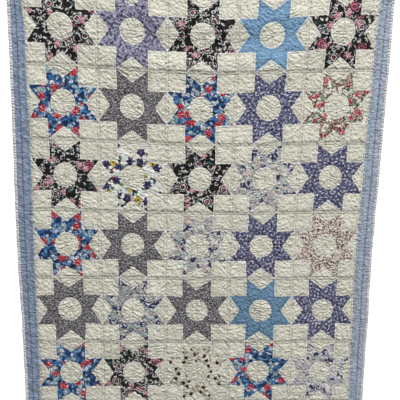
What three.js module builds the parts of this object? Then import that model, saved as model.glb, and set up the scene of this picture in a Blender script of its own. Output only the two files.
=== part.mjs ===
// Star quilt, hanging face on from its top edge: a pieced centre of star blocks, a blue border
// and a narrow pale binding. Millimetres, +Z up, the quilt's face towards -Y.
// The origin is the middle of the top edge, where the quilt is held up.
//
// A place on the cloth is given by its drop, the distance down from the top edge, and by how far
// across it lies from the middle line.

import * as THREE from 'three';

// The blocks of the pieced centre, as they measure in the hanging quilt
const blockDrop = 317;
const blockRows = 6;

// The strips round the centre
const borderWidth = 57;
const bindingWidth = 13;

// Layers of cotton and thin batting, sewn through
const quiltThickness = 5;
const bindingThickness = 7;
const seamGap = 0.3;

// The binding's section: its crest lies at this share of its width in from the outer edge, and
// its inner edge is this share as thick as its crest
const crestShare = 0.28;
const innerEdgeShare = 0.8;

// The top edge hangs from points along it and sags between them, less and less further down
const topSag = 38;
const sagHalfWidth = 750;
const sagFade = 1.8;

// Grid of the faceted solids
const panelCellsAcross = 32;
const panelCellsDown = 40;
const borderCellsAcross = 2;
const bindingCellsAlong = 44;

// Worked out from the sizes above
const edgeWidth = borderWidth + bindingWidth;
const panelDrop = blockRows * blockDrop;
const quiltDrop = panelDrop + 2 * edgeWidth;

// Widths down the quilt: half the pieced centre, half the whole, and the middle line's sway
const widthsByDrop = [
  { drop: 0, panelHalf: 762, outerHalf: 820, sway: 0 },
  { drop: 330, panelHalf: 750, outerHalf: 820, sway: -1 },
  { drop: 700, panelHalf: 744, outerHalf: 820, sway: -3 },
  { drop: 1200, panelHalf: 742, outerHalf: 820, sway: -8 },
  { drop: 1700, panelHalf: 746, outerHalf: 820, sway: -2 },
  { drop: quiltDrop, panelHalf: 752, outerHalf: 820, sway: 0 },
];

// Soft folds: where the middle of each lies, its lean in degrees from level (positive rises to
// the right), half its length, half its width, how far its middle hangs below its ends, and its
// height towards the viewer (negative for a trough)
const folds = [
  { across: 0, drop: 150, lean: 0, long: 430, wide: 44, bow: 34, height: 6 },
  { across: -20, drop: 245, lean: 0, long: 400, wide: 40, bow: 28, height: -4 },
  { across: 30, drop: 335, lean: 1, long: 380, wide: 44, bow: 22, height: 5 },
  { across: 0, drop: 430, lean: -2, long: 330, wide: 46, bow: 16, height: -3 },
  { across: -500, drop: 230, lean: -34, long: 330, wide: 62, bow: 20, height: 7 },
  { across: 490, drop: 250, lean: 33, long: 330, wide: 66, bow: 20, height: 8 },
  { across: -640, drop: 700, lean: -70, long: 300, wide: 70, bow: 0, height: 5 },
  { across: 200, drop: 800, lean: 72, long: 330, wide: 85, bow: 0, height: 5 },
  { across: 560, drop: 1000, lean: 80, long: 380, wide: 90, bow: 0, height: -6 },
  { across: -150, drop: 1150, lean: 78, long: 360, wide: 90, bow: 0, height: -5 },
  { across: -480, drop: 1500, lean: 62, long: 260, wide: 72, bow: 0, height: -9 },
  { across: -330, drop: 1640, lean: 74, long: 330, wide: 80, bow: 0, height: 8 },
  { across: 420, drop: 1690, lean: -64, long: 240, wide: 66, bow: 0, height: 9 },
  { across: 250, drop: 1760, lean: -78, long: 300, wide: 70, bow: 0, height: -8 },
  { across: 30, drop: 1700, lean: 86, long: 380, wide: 85, bow: 0, height: 6 },
  { across: 700, drop: 1650, lean: 88, long: 420, wide: 75, bow: 0, height: -6 },
  { across: -720, drop: 1500, lean: 90, long: 480, wide: 70, bow: 0, height: 6 },
];

const cottonMuslin = new THREE.MeshStandardMaterial({ color: 0xcfcbbb, roughness: 0.9, metalness: 0 });
const blueChambray = new THREE.MeshStandardMaterial({ color: 0x8090aa, roughness: 0.88, metalness: 0 });
const paleBinding = new THREE.MeshStandardMaterial({ color: 0xd4d4d6, roughness: 0.88, metalness: 0 });

// One column of widthsByDrop at a drop, eased between its rows
function widthAt(column, drop) {
  const last = widthsByDrop.length - 1;
  if (drop <= widthsByDrop[0].drop) return widthsByDrop[0][column];
  if (drop >= widthsByDrop[last].drop) return widthsByDrop[last][column];
  const row = widthsByDrop.findIndex((entry, i) => i < last && drop < widthsByDrop[i + 1].drop);
  const above = widthsByDrop[row];
  const below = widthsByDrop[row + 1];
  const share = (drop - above.drop) / (below.drop - above.drop);
  const eased = (1 - Math.cos(Math.PI * share)) / 2;
  return above[column] + (below[column] - above[column]) * eased;
}

// How far the cloth hangs below the level of the side edges
function sag(across, drop) {
  const fromMiddle = Math.min(Math.abs(across), sagHalfWidth) / sagHalfWidth;
  const middleShare = (1 + Math.cos(Math.PI * fromMiddle)) / 2;
  const left = Math.max(0, 1 - drop / quiltDrop);
  return topSag * Math.pow(left, sagFade) * middleShare;
}

// How far one fold brings the cloth towards the viewer
function foldHeight(fold, across, drop) {
  const lean = THREE.MathUtils.degToRad(fold.lean);
  const right = across - fold.across;
  const down = drop - fold.drop;
  const along = (right * Math.cos(lean) - down * Math.sin(lean)) / fold.long;
  const bowed = fold.bow * (1 - along * along);
  const beside = (right * Math.sin(lean) + down * Math.cos(lean) - bowed) / fold.wide;
  return fold.height * Math.exp(-along * along - beside * beside);
}

// The point at a place on the cloth, set back by an offset from the middle of the layers
function clothPoint(across, drop, offset) {
  const forward = folds.reduce((sum, fold) => sum + foldHeight(fold, across, drop), 0);
  const x = across + widthAt('sway', drop);
  const z = topSag - drop - sag(across, drop);
  return new THREE.Vector3(x, offset - forward, z);
}

// A closed body through a row of equal loops, its ends closed by strips from side to side
function loft(loops) {
  const size = loops[0].length;
  const positions = loops.flat().flatMap((point) => [point.x, point.y, point.z]);
  const index = [];
  for (let ring = 0; ring < loops.length - 1; ring++) {
    for (let i = 0; i < size; i++) {
      const a = ring * size + i;
      const b = ring * size + (i + 1) % size;
      index.push(a, a + size, b, b, a + size, b + size);
    }
  }
  const end = (loops.length - 1) * size;
  for (let i = 0; i < size / 2 - 1; i++) {
    const far = size - 1 - i;
    index.push(i, i + 1, far, i + 1, far - 1, far);
    index.push(end + i, end + far, end + i + 1, end + i + 1, end + far, end + far - 1);
  }
  const geometry = new THREE.BufferGeometry();
  geometry.setAttribute('position', new THREE.Float32BufferAttribute(positions, 3));
  geometry.setIndex(index);
  geometry.computeVertexNormals();
  return geometry;
}

// Equal steps from one number to another
function steps(from, to, cells) {
  return Array.from({ length: cells + 1 }, (unused, i) => from + ((to - from) * i) / cells);
}

// A quilted layer: a loop at each drop, along the front to the right and back behind it.
// Each entry of acrossAt gives its distance across for a drop.
function layer(acrossAt, drops) {
  const half = quiltThickness / 2;
  return loft(drops.map((drop) => [
    ...acrossAt.map((at) => clothPoint(at(drop), drop, -half)),
    ...acrossAt.toReversed().map((at) => clothPoint(at(drop), drop, half)),
  ]));
}

// A binding: a loop of six points at each place along an edge, rounded over that edge.
// Each place gives the point at a share of the binding's width, inward from the edge.
function roll(places) {
  const crest = bindingThickness / 2;
  const innerEdge = crest * innerEdgeShare;
  const section = [
    { inward: 0, offset: 0 },
    { inward: crestShare, offset: crest },
    { inward: 1, offset: innerEdge },
    { inward: 1, offset: 0 },
    { inward: 1, offset: -innerEdge },
    { inward: crestShare, offset: -crest },
  ];
  return loft(places.map((place) => section.map(({ inward, offset }) => place(inward, offset))));
}

// The panel's stations across, as shares of its half width
const panelShares = steps(-1, 1, panelCellsAcross);

// Where the border ends and the binding begins, on either side of the seam between them
function borderEdge(drop) {
  return widthAt('outerHalf', drop) - bindingWidth - seamGap;
}

function piecedPanel() {
  const acrossAt = panelShares.map((share) => (drop) => share * widthAt('panelHalf', drop));
  return layer(acrossAt, steps(edgeWidth, edgeWidth + panelDrop, panelCellsDown));
}

// A side border runs beside the panel, between the top and bottom borders
function sideBorder(side) {
  const shares = side < 0 ? steps(1, 0, borderCellsAcross) : steps(0, 1, borderCellsAcross);
  const acrossAt = shares.map((share) => (drop) => {
    const inner = widthAt('panelHalf', drop) + seamGap;
    return side * (inner + share * (borderEdge(drop) - inner));
  });
  return layer(acrossAt, steps(edgeWidth, edgeWidth + panelDrop, panelCellsDown));
}

// A top or bottom border runs the quilt's whole width inside the binding. Beyond the panel's
// width it has a corner at each end, over the end of a side border.
function endBorder(drops) {
  const corner = (side) => (share) => (drop) => {
    const inner = widthAt('panelHalf', drop);
    return side * (inner + share * (borderEdge(drop) - inner));
  };
  const cornerShares = steps(0, 1, borderCellsAcross).slice(1);
  const acrossAt = [
    ...cornerShares.toReversed().map(corner(-1)),
    ...panelShares.map((share) => (drop) => share * widthAt('panelHalf', drop)),
    ...cornerShares.map(corner(1)),
  ];
  return layer(acrossAt, drops);
}

// A side binding runs the quilt's whole drop
function sideBinding(side) {
  const drops = steps(0, quiltDrop, bindingCellsAlong);
  const places = drops.map((drop) => (inward, offset) =>
    clothPoint(side * (widthAt('outerHalf', drop) - inward * bindingWidth), drop, side * offset));
  return roll(places);
}

// A top or bottom binding runs between the side bindings
function endBinding(edgeDrop, down) {
  const reach = borderEdge(edgeDrop);
  const places = steps(-reach, reach, bindingCellsAlong).map((across) => (inward, offset) =>
    clothPoint(across, edgeDrop + down * inward * bindingWidth, down * offset));
  return roll(places);
}

const quilt = new THREE.Group();

function add(name, geometry, material) {
  const mesh = new THREE.Mesh(geometry, material);
  mesh.name = name;
  quilt.add(mesh);
}

const topBorderDrops = steps(bindingWidth + seamGap, edgeWidth - seamGap, borderCellsAcross);
const bottomBorderDrops = topBorderDrops.map((drop) => quiltDrop - drop).toReversed();

add('pieced_panel', piecedPanel(), cottonMuslin);
add('border_left', sideBorder(-1), blueChambray);
add('border_right', sideBorder(1), blueChambray);
add('border_top', endBorder(topBorderDrops), blueChambray);
add('border_bottom', endBorder(bottomBorderDrops), blueChambray);
add('binding_left', sideBinding(-1), paleBinding);
add('binding_right', sideBinding(1), paleBinding);
add('binding_top', endBinding(0, 1), paleBinding);
add('binding_bottom', endBinding(quiltDrop, -1), paleBinding);

export default quilt;
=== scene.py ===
"""Looks of a star quilt that hangs from its top edge, in metres, in the part's own frame.

A place on the cloth is given by how far across it lies from the middle line and by its drop, the
distance down from the top edge. The same widths, sag and folds as in the part's solids turn that
place into a point, and the sewn relief is added towards the viewer.
"""

import math

import bpy
import numpy as np
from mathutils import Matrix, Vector


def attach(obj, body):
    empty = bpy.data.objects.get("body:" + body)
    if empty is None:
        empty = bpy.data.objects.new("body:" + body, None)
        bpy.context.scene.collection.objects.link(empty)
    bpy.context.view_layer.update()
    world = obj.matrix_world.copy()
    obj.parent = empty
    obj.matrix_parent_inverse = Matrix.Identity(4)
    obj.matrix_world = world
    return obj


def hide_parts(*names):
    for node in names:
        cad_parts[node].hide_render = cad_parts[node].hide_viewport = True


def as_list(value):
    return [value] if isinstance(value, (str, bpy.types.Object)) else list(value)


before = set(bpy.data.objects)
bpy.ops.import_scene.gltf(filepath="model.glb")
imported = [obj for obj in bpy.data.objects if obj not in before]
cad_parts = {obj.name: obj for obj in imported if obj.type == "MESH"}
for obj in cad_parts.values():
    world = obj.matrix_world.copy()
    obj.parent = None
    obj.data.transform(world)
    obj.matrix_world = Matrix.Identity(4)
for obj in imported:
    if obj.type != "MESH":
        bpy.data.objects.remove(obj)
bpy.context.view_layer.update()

MM = 0.001

# The blocks of the pieced centre, and the strips round it
BLOCK_DROP = 0.317
BLOCK_ROWS = 6
BLOCK_COLUMNS = 5
BORDER_WIDTH = 0.057
BINDING_WIDTH = 0.013
BINDING_THICKNESS = 0.007

# Half the layers' thickness where they are sewn down, and the least that it can be anywhere
HALF_THICKNESS = 0.0016
LEAST_HALF = 0.0003

# How much of the crumple bends all the layers together, instead of puffing up one face
BENT_SHARE = 0.65

# The top edge hangs from points along it and sags between them, less and less further down
TOP_SAG = 0.038
SAG_HALF_WIDTH = 0.75
SAG_FADE = 1.8

EDGE_WIDTH = BORDER_WIDTH + BINDING_WIDTH
PANEL_DROP = BLOCK_ROWS * BLOCK_DROP
QUILT_DROP = PANEL_DROP + 2 * EDGE_WIDTH

# Half the quilt's width, with and without its binding
OUTER_HALF = 0.820
INNER_HALF = OUTER_HALF - BINDING_WIDTH

# Drops, and at each of them half the pieced centre's width and how far its middle line sways
DROPS = np.array([0.0, 0.330, 0.700, 1.200, 1.700, QUILT_DROP])
PANEL_HALF = np.array([0.762, 0.750, 0.744, 0.742, 0.746, 0.752])
SWAY = np.array([0.0, -0.001, -0.003, -0.008, -0.002, 0.0])

# Soft folds: across and drop of each one's middle, its lean in degrees from level (positive rises
# to the right), and in metres half its length, half its width, how far its middle hangs below its
# ends, and its height towards the viewer (negative for a trough)
FOLDS = [
    (0.0, 0.150, 0, 0.430, 0.044, 0.034, 0.006),
    (-0.020, 0.245, 0, 0.400, 0.040, 0.028, -0.004),
    (0.030, 0.335, 1, 0.380, 0.044, 0.022, 0.005),
    (0.0, 0.430, -2, 0.330, 0.046, 0.016, -0.003),
    (-0.500, 0.230, -34, 0.330, 0.062, 0.020, 0.007),
    (0.490, 0.250, 33, 0.330, 0.066, 0.020, 0.008),
    (-0.640, 0.700, -70, 0.300, 0.070, 0.0, 0.005),
    (0.200, 0.800, 72, 0.330, 0.085, 0.0, 0.005),
    (0.560, 1.000, 80, 0.380, 0.090, 0.0, -0.006),
    (-0.150, 1.150, 78, 0.360, 0.090, 0.0, -0.005),
    (-0.480, 1.500, 62, 0.260, 0.072, 0.0, -0.009),
    (-0.330, 1.640, 74, 0.330, 0.080, 0.0, 0.008),
    (0.420, 1.690, -64, 0.240, 0.066, 0.0, 0.009),
    (0.250, 1.760, -78, 0.300, 0.070, 0.0, -0.008),
    (0.030, 1.700, 86, 0.380, 0.085, 0.0, 0.006),
    (0.700, 1.650, 88, 0.420, 0.075, 0.0, -0.006),
    (-0.720, 1.500, 90, 0.480, 0.070, 0.0, 0.006),
]

# The star block, in shares of its side, measured from its centre, and that side in metres
DISC = 0.176
NOTCH = 0.329
CORNER = 0.226
TIP_INSET = 0.006
BLOCK_SIDE = 0.300
TIP = 0.5 - TIP_INSET

# Cells along a patch's side, from the disc to the notch, and across the strip round the star
PATCH_CELLS = 21
BLADE_CELLS = 12
STRIP_CELLS = 1

# Cells of the border and the binding, in even numbers. The binding's levels, as shares of its
# width, lie closer together at its outer edge.
BORDER_CELLS = {"side": 640, "end": 544, "across": 20}
BINDING_CELLS = {"side": 960, "end": 768, "across": 8}
BINDING_SHARES = np.linspace(0, 1, BINDING_CELLS["across"] + 1) ** 1.4

# Quilting lines, as distances from a seam: along the rows, round the stars and on the border
ROW_LINE = 0.0061
STAR_LINE = 0.0078
NEAR_LINE = 0.0105
FAR_LINE = 0.034

# Distance between the stitches that draw the edges in, and between threads of the weave
PUCKER_PITCH = 0.0122
THREAD_PITCH = 0.0009

# Bump of the cloth, softness and wander of a print's outlines, and size of the block as cut
WRINKLE_DEPTH = 0.0022
FOLD_DEPTH = 0.0012
THREAD_DEPTH = 0.000012
EDGE_SOFTNESS = 0.001
UNEVEN_PRINT = 0.010
WANDER_SCALE = 90.0
FULL_TURN = 6.283

# Bake map: margin of each column, and how far the rim reaches into it
BAKE_MARGIN = 0.03
BAKE_PUSH = 0.012

# The kinds of cut patch in a block
PIECES = ["wedge", "blade", "triangle", "corner"]

# The print of each star, from the top row down
STARS = [
    ["black_floral", "lavender_mottle", "black_floral", "sky_blue", "black_floral"],
    ["royal_floral", "gray_speckle", "royal_floral", "purple_sprig", "white_rose"],
    ["black_floral", "pansy", "black_floral", "pastel_mint", "purple_sprig"],
    ["royal_floral", "gray_speckle", "pastel_mint", "purple_sprig", "vermicelli"],
    ["gray_speckle", "pastel_navy", "gray_speckle", "lake_blue", "purple_sprig"],
    ["royal_floral", "black_floral", "dotted_cream", "royal_floral", "pastel_lilac"],
]

# Deep, pale and worn colour of each plain blue, as screen values
BLUES = [
    ("sky_blue", (112, 156, 188), (142, 180, 208), (138, 170, 212)),
    ("lake_blue", (94, 138, 164), (126, 166, 190), (120, 146, 184)),
]

# Ground, share of navy clusters and three leaf colours of each pastel print
PASTELS = [
    ("pastel_mint", (228, 229, 216), 0.26, (184, 182, 192), (170, 198, 182), (214, 186, 176)),
    ("pastel_navy", (216, 217, 207), 0.38, (160, 158, 170), (142, 180, 164), (184, 168, 158)),
    ("pastel_lilac", (234, 232, 222), 0.20, (194, 187, 200), (184, 196, 182), (210, 190, 198)),
]

# Studio: heights and places in metres, paper in linear light, lamp and world by power
FLOOR_AT = -2.5
WALL_AT = 6.0
PAPER_REACH = 10.0
PAPER_GRAY = (0.30, 0.30, 0.30, 1.0)
PAPER_WHITE = (0.70, 0.70, 0.70, 1.0)
PAPER_GLOW = 0.88
LAMP_AT = (2.3, -6.0, 9.6)
LAMP_AIM = (0.0, 0.0, -1.0)
LAMP_SIZE = 1.1
LAMP_POWER = 1760
WORLD_LIGHT = 0.12
CAMERA_AT = (-0.0872, -2.2252, -0.5314)
CAMERA_TURN = (79.77, -0.983, -2.079)
CAMERA_LENS = 45.0


# Shape of the hanging cloth

def down_quilt(values, drop):
    """A width or the sway at each drop, eased by half a cosine wave between its values at DROPS."""
    place = np.clip(np.searchsorted(DROPS, drop, side="right") - 1, 0, len(DROPS) - 2)
    share = np.clip((drop - DROPS[place]) / (DROPS[place + 1] - DROPS[place]), 0, 1)
    eased = (1 - np.cos(np.pi * share)) / 2
    return values[place] + (values[place + 1] - values[place]) * eased


def sag(across, drop):
    """How far the cloth hangs below its side edges: a cosine hump across, fading down the drop."""
    from_middle = np.minimum(np.abs(across), SAG_HALF_WIDTH) / SAG_HALF_WIDTH
    left = np.maximum(0, 1 - drop / QUILT_DROP)
    return TOP_SAG * left ** SAG_FADE * (1 + np.cos(np.pi * from_middle)) / 2


def leaning(right, down, angle):
    """Distances along and beside a line that rises to the right by an angle, for places on the cloth."""
    cosine, sine = np.cos(angle), np.sin(angle)
    return right * cosine - down * sine, right * sine + down * cosine


def fold_height(across, drop):
    """How far the folds bring the cloth forward: a sum of bell curves along and beside each fold."""
    height = np.zeros(np.shape(across))
    for across_at, drop_at, degrees, long, wide, bow, high in FOLDS:
        along, beside = leaning(across - across_at, drop - drop_at, math.radians(degrees))
        share = along / long
        height += high * np.exp(-share ** 2 - ((beside - bow * (1 - share ** 2)) / wide) ** 2)
    return height


def cloth_points(across, drop, forward):
    """The points at places on the cloth, brought towards the viewer by forward from mid-layer."""
    sewn_across, sewn_drop = uneven(across, drop)
    x = sewn_across + down_quilt(SWAY, drop)
    bent = fold_height(across, drop) + rumple(across, drop) + tension(across, drop)
    y = -bent - BENT_SHARE * crumple(across, drop) - forward
    z = TOP_SAG - sewn_drop - sag(across, drop)
    return np.stack([x, y, z], axis=-1)


def layer_height(relief):
    """A face's height over mid-layer: half the sewn-down thickness and its relief, above the least."""
    return np.maximum(HALF_THICKNESS + relief, LEAST_HALF)


# Repeatable noise

def lattice(column, row, seed):
    """A repeatable share from 0 to 1 for each whole-number place, by mixing the two numbers' bits."""
    mixed = column.astype(np.int64) * 374761393 + row.astype(np.int64) * 668265263 + seed * 144665
    mixed = mixed & 0xFFFFFFFF
    mixed = ((mixed ^ (mixed >> 13)) * 1274126177) & 0xFFFFFFFF
    return ((mixed ^ (mixed >> 16)) & 0xFFFFFF) / 0xFFFFFF


def noise(x, y, seed):
    """Smooth noise from about -1 to 1: each lattice corner slopes its own way, eased between corners."""
    column, row = np.floor(x), np.floor(y)
    right, up = x - column, y - row
    ease_x = right ** 3 * (right * (right * 6 - 15) + 10)
    ease_y = up ** 3 * (up * (up * 6 - 15) + 10)
    total = 0.0
    for i in (0, 1):
        for j in (0, 1):
            turn = 2 * np.pi * lattice(column + i, row + j, seed)
            slope = np.cos(turn) * (right - i) + np.sin(turn) * (up - j)
            total = total + slope * (ease_x if i else 1 - ease_x) * (ease_y if j else 1 - ease_y)
    return 1.6 * total


def swell(across, drop, size, seed):
    """Noise in patches of about a size in metres."""
    return noise(across / size, drop / size, seed)


def uneven(across, drop):
    """Hand sewing: every seam wanders by a few millimetres from its straight course."""
    right = 1.7 * swell(across, drop, 0.19, 11) + 0.9 * swell(across, drop, 0.06, 12)
    down = 1.9 * swell(across, drop, 0.21, 13) + 0.9 * swell(across, drop, 0.06, 14)
    return across + MM * right, drop + MM * down


def rumple(across, drop):
    """Soft waves of the whole sandwich, deeper down the quilt: noise at 105 and 47 mm."""
    depth = 1 + 0.45 * (drop / QUILT_DROP) ** 2
    return MM * depth * (1.8 * swell(across, drop, 0.105, 21) + 1.1 * swell(across, drop, 0.047, 22))


def tension(across, drop):
    """Ripples of the hanging cloth: long creases on hanging curves, strong at the top, faint below."""
    level = drop + 0.52 * across ** 2 / SAG_HALF_WIDTH
    strength = 0.35 + 0.65 * np.exp(-(drop / 0.62) ** 2)
    patchy = 0.55 + 0.45 * swell(across, drop, 0.14, 31)
    waves = noise(across / 0.075, level / 0.0115, 32) + 0.6 * noise(across / 0.05, level / 0.0075, 33)
    return 1.7 * MM * strength * patchy * waves


# Sewn relief

def ditch(distance, centre, width):
    """A bell curve of height 1 where the distance from a seam equals centre."""
    return np.exp(-((distance - centre) / width) ** 2)


def deepest(*ditches):
    """The deepest of several ditches: each one's depth, distance from a seam, centre and width."""
    return np.maximum.reduce([depth * ditch(*shape) for depth, *shape in ditches])


def to_segment(a, b, start, end):
    """Distance from the places (a, b) to a straight seam from start to end."""
    along = np.array(end) - np.array(start)
    share = ((a - start[0]) * along[0] + (b - start[1]) * along[1]) / (along @ along)
    share = np.clip(share, 0, 1)
    return np.hypot(a - start[0] - share * along[0], b - start[1] - share * along[1])


def seam_distances(s, t):
    """Distances in metres from places in a star block to its seams, by folding it into one eighth."""
    a = np.maximum(np.abs(s), np.abs(t))
    b = np.minimum(np.abs(s), np.abs(t))
    diagonal = DISC * math.sqrt(0.5)
    shares = {
        "side": 0.5 - np.abs(s),
        "row": 0.5 - np.abs(t),
        "corner": to_segment(a, b, (CORNER, CORNER), (TIP, CORNER)),
        "triangle": to_segment(a, b, (NOTCH, 0), (TIP, CORNER)),
        "blade": np.minimum(
            to_segment(a, b, (DISC, 0), (NOTCH, 0)),
            to_segment(a, b, (diagonal, diagonal), (CORNER, CORNER)),
        ),
        "disc": np.abs(np.hypot(a, b) - DISC),
        "wedge": np.minimum(
            to_segment(a, b, (0, 0), (DISC, 0)),
            to_segment(a, b, (0, 0), (diagonal, diagonal)),
        ),
    }
    return {name: share * BLOCK_SIDE for name, share in shares.items()}


def ridges(across, drop):
    """Short ridges with round tops and sharp valleys, from 0 in a valley to about 1: level in most
    places, rising or falling in others. The size of smooth noise stretched along each way."""
    bent_across = across + 0.006 * swell(across, drop, 0.03, 23)
    bent_drop = drop + 0.006 * swell(across, drop, 0.03, 24)
    total, weights = 0.0, 0.0
    for degrees, lead, seed in ((0, 1.7, 25), (42, 1.0, 27), (-42, 1.0, 29)):
        along, beside = leaning(bent_across, bent_drop, math.radians(degrees))
        weight = lead * np.exp(4.0 * swell(across, drop, 0.11, seed + 30))
        total = total + weight * np.abs(noise(along / 0.032, beside / 0.0120, seed)) ** 0.66
        weights = weights + weight
    return total / weights


def crumple(across, drop):
    """Cotton shrunk over its batting: the ridges, and finer humps on them, deeper down the quilt and
    shallower past the pieced centre."""
    fine = noise(across / 0.0115, drop / 0.0090, 26)
    past_sides = np.abs(across) - PANEL_HALF.min()
    past_ends = np.maximum(EDGE_WIDTH - drop, drop - EDGE_WIDTH - PANEL_DROP)
    on_border = np.clip(np.maximum(past_sides, past_ends) / 0.02, 0, 1)
    depth = (0.82 + 0.6 * drop / QUILT_DROP) * (1 - 0.4 * on_border)
    return MM * depth * (6.4 * (ridges(across, drop) - 0.46) + 0.9 * fine)


def puckers(across, drop, level_seam, upright_seam, rising_seam, falling_seam):
    """Short creases square to each seam, about 12 mm apart, dying out some 30 mm from it."""
    falling_way = (across + drop) * math.sqrt(0.5)
    rising_way = (across - drop) * math.sqrt(0.5)
    height = 0.0
    for distance, along, beside, seed in (
        (level_seam, across, drop, 41),
        (upright_seam, drop, across, 42),
        (rising_seam, rising_way, falling_way, 43),
        (falling_seam, falling_way, rising_way, 44),
    ):
        near = np.exp(-(distance / 0.019) ** 2)
        height = height + near * noise(along / 0.0078, beside / 0.034, seed)
    return 1.1 * MM * height


def block_relief(s, t, across, drop):
    """Relief of the quilted face: puffed cloth, drawn in at its seams and quilting lines."""
    seam = seam_distances(s, t)
    steep = np.abs(s) >= np.abs(t)
    far = np.full(np.shape(s), 1.0)
    level = np.minimum(seam["row"], np.where(steep, seam["corner"], far))
    upright = np.minimum(seam["side"], np.where(steep, far, seam["corner"]))
    rising = np.where(s * t < 0, seam["triangle"], far)
    falling = np.where(s * t < 0, far, seam["triangle"])
    star_edge = np.minimum(seam["corner"], seam["triangle"])
    sewn = np.minimum.reduce([seam["row"], seam["side"], star_edge, seam["disc"]])
    puff = 1.5 * (1 - np.exp(-sewn / 0.011))
    lines = deepest(
        (2.1, seam["row"], ROW_LINE, 0.0020),
        (1.0, seam["side"], ROW_LINE, 0.0020),
        (1.0, star_edge, STAR_LINE, 0.0026),
        (0.7, seam["disc"], STAR_LINE, 0.0026),
    )
    notches = deepest(
        (0.4, seam["row"], 0, 0.0014),
        (0.4, seam["side"], 0, 0.0014),
        (0.8, star_edge, 0, 0.0016),
        (0.7, seam["disc"], 0, 0.0016),
        (0.8, seam["blade"], 0, 0.0018),
        (0.9, seam["wedge"], 0, 0.0019),
    )
    drawn = puckers(across, drop, level, upright, rising, falling)
    return MM * (puff - lines - notches) + (1 - BENT_SHARE) * crumple(across, drop) + drawn


# Meshes

def triangle_cells(cells):
    """Rows i + j = 0 ... cells of a triangle's grid places (i, j), and its cells as place numbers."""
    places = [(i, j) for i in range(cells + 1) for j in range(cells + 1 - i)]
    number = {place: n for n, place in enumerate(places)}
    faces = [(number[i, j], number[i + 1, j], number[i, j + 1]) for i, j in places if i + j < cells]
    faces += [
        (number[i + 1, j], number[i + 1, j + 1], number[i, j + 1])
        for i, j in places if i + j < cells - 1
    ]
    return np.array(places, float), np.array(faces)


def quad_cells(columns, rows):
    """A grid of rows + 1 by columns + 1 places as two triangles a cell, in place numbers."""
    row, column = np.mgrid[0:rows, 0:columns]
    a = row * (columns + 1) + column
    b = a + columns + 1
    pair = np.stack([np.stack([a, a + 1, b + 1], -1), np.stack([a, b + 1, b], -1)], 2)
    return pair.reshape(-1, 3)


def straight_patch(p, q, r):
    """A flat triangle p, q, r: place (i, j) lies i steps towards q and j steps towards r."""
    places, faces = triangle_cells(PATCH_CELLS)
    share = places / PATCH_CELLS
    p, q, r = np.array(p), np.array(q), np.array(r)
    return p + share[:, :1] * (q - p) + share[:, 1:] * (r - p), faces


def wedge_patch():
    """One eighth of the disc: place (i, j) lies on the arc of radius i + j, j steps round it."""
    places, faces = triangle_cells(PATCH_CELLS)
    ring = places.sum(1)
    angle = math.pi / 4 * places[:, 1] / np.maximum(ring, 1)
    radius = DISC * ring / PATCH_CELLS
    return np.stack([radius * np.cos(angle), radius * np.sin(angle)], -1), faces


def blade_patch():
    """A blade's foot: straight lines from the disc's arc out to the line from notch to corner."""
    across, out = np.meshgrid(np.linspace(0, 1, PATCH_CELLS + 1), np.linspace(0, 1, BLADE_CELLS + 1))
    angle = math.pi / 4 * across
    near = DISC * np.stack([np.cos(angle), np.sin(angle)], -1)
    notch, corner = np.array([NOTCH, 0]), np.array([CORNER, CORNER])
    far = notch + across[..., None] * (corner - notch)
    points = near + out[..., None] * (far - near)
    return points.reshape(-1, 2), quad_cells(PATCH_CELLS, BLADE_CELLS)


def strip_patch():
    """The plain strip from the star's tips to the block's edge, its corner cells cut on the diagonal."""
    lower = np.linspace(0, CORNER, PATCH_CELLS + 1)
    upper = np.linspace(CORNER, TIP, PATCH_CELLS + 1)[1:]
    beyond = np.linspace(TIP, 0.5, STRIP_CELLS + 1)[1:]
    levels = np.concatenate([lower, upper, beyond])
    outward = np.linspace(TIP, 0.5, STRIP_CELLS + 1)
    level, out = np.meshgrid(levels, outward)
    points = np.stack([out, level], -1).reshape(-1, 2)
    faces = quad_cells(len(levels) - 1, STRIP_CELLS)
    inside = (points[faces][:, :, 1] <= points[faces][:, :, 0] + 1e-9).all(1)
    return points, faces[inside]


def star_block():
    """A whole block from one eighth, mirrored about its lines: places, cells, and each cell's patch
    kind and eighth. The strip belongs to the side triangle or the corner square that it borders."""
    notch, corner, tip = (NOTCH, 0), (CORNER, CORNER), (TIP, CORNER)
    eighth = [
        ("wedge", *wedge_patch()),
        ("blade", *blade_patch()),
        ("blade", *straight_patch(notch, tip, corner)),
        ("triangle", *straight_patch(notch, (TIP, 0), tip)),
        ("corner", *straight_patch(corner, tip, (TIP, TIP))),
        ("strip", *strip_patch()),
    ]
    plan, cells, kinds, eighths = [], [], [], []
    start = 0
    for turn in range(8):
        flips = np.array([-1 if turn & 2 else 1, -1 if turn & 4 else 1])
        for name, places, patch_cells in eighth:
            plan.append((places[:, ::-1] if turn & 1 else places) * flips)
            cells.append(patch_cells + start)
            low = places[patch_cells].mean(1)[:, 1] < CORNER
            strip = np.where(low, PIECES.index("triangle"), PIECES.index("corner"))
            kinds.append(strip if name == "strip" else np.full(len(patch_cells), PIECES.index(name)))
            eighths.append(np.full(len(patch_cells), turn))
            start += len(places)
    plan, cells = merged(np.concatenate(plan), np.concatenate(cells))
    return plan, cells, np.concatenate(kinds), np.concatenate(eighths)


def merged(points, faces):
    """Places that coincide become one, and the cells are numbered anew."""
    keys = np.round(points * 1e6).astype(np.int64)
    first, number = np.unique(keys, axis=0, return_index=True, return_inverse=True)[1:]
    return points[first], number.reshape(-1)[faces]


def placed(name, data):
    """A new object of a mesh, a lamp or a camera, in the scene."""
    made = bpy.data.objects.new(name, data)
    bpy.context.scene.collection.objects.link(made)
    return made


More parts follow.
